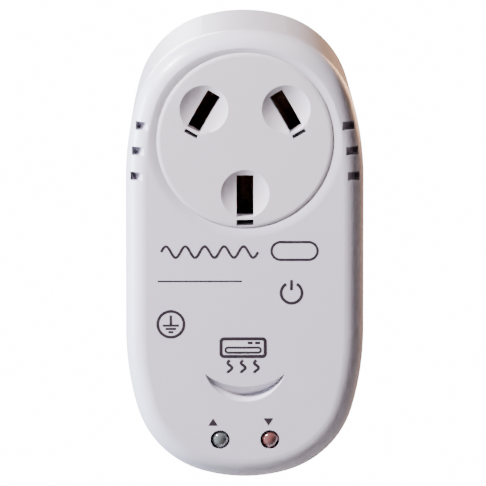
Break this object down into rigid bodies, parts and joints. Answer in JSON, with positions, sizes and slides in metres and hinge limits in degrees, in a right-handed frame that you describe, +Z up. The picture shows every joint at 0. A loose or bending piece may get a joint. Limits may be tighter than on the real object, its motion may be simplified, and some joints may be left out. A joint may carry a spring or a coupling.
{
  "type": "appliance voltage protector",
  "caption": "Plug-through voltage protector: blades at the back, three-pole outlet and two signal lamps at the front, with a relay that cuts power to one appliance.",
  "frame": {"origin": "centre of the three-pin pattern on the flat back face", "axes": "+Z up, +X to the right as seen from the front, +Y into the wall; the face with the outlet looks towards -Y"},
  "size_m": [0.0398, 0.0533, 0.0758],
  "materials": {
    "shell": "fine satin moulded, pale cool white",
    "socket": "satin moulded, white",
    "dark_plastic": "matte moulded",
    "white_plastic": "matte moulded",
    "relay_blue": "gloss moulded",
    "screw_steel": "zinc plated",
    "contact_brass": "rolled sheet",
    "pin_brass": "machined bright",
    "contact_copper": "rolled copper alloy",
    "iron": "plated soft iron",
    "copper_wire": "enamelled copper wire",
    "tin": "tinned",
    "board": "phenolic laminate",
    "wire_brown": "insulated wire",
    "wire_red": "insulated wire",
    "wire_blue": "insulated wire",
    "film_box": "moulded box",
    "can_sleeve": "shrunk sleeve",
    "varistor_blue": "dipped epoxy",
    "black_epoxy": "moulded epoxy",
    "resistor_blue": "lacquer",
    "lens_grey": "tinted epoxy lens, unlit",
    "lens_red": "tinted epoxy lens, unlit"
  },
  "bodies": {
    "housing": {"front_shell": "shell", "rear_shell": "shell", "housing_screws": "screw_steel", "socket_face": "socket", "contact_carrier": "dark_plastic", "carrier_screws": "screw_steel", "line_contact": "contact_brass", "neutral_contact": "contact_brass", "earth_contact": "contact_brass", "line_pin": "pin_brass", "neutral_pin": "pin_brass", "earth_pin": "pin_brass", "pin_block": "dark_plastic", "line_in_lead": "wire_brown", "line_out_lead": "wire_red", "neutral_lead": "wire_blue", "circuit_board": "board", "solder_joints": "tin", "relay_base": "dark_plastic", "relay_cover": "relay_blue", "relay_terminals": "tin", "relay_yoke": "iron", "relay_core": "iron", "relay_bobbin": "white_plastic", "relay_winding": "copper_wire", "relay_open_contact": "contact_copper", "relay_closed_contact": "contact_copper", "relay_return_spring": "contact_brass", "film_capacitor": "film_box", "electrolytic_capacitor": "can_sleeve", "varistor": "varistor_blue", "diodes": "black_epoxy", "resistors": "resistor_blue", "transistor": "black_epoxy", "microcontroller": "black_epoxy", "led_high": "lens_grey", "led_low": "lens_red", "led_spacers": "white_plastic", "led_leads": "tin"},
    "armature": {"relay_armature": "iron", "relay_moving_contact": "contact_copper"}
  },
  "joints": [
    {"name": "armature_hinge", "type": "hinge", "parent": "housing", "child": "armature", "pos_m": [-0.0047, -0.02245, -0.0291], "axis": [0, 0, 1], "range_deg": [0, 3], "stiffness_Nm_per_rad": 0.002, "springref_deg": -17.19}
  ]
}
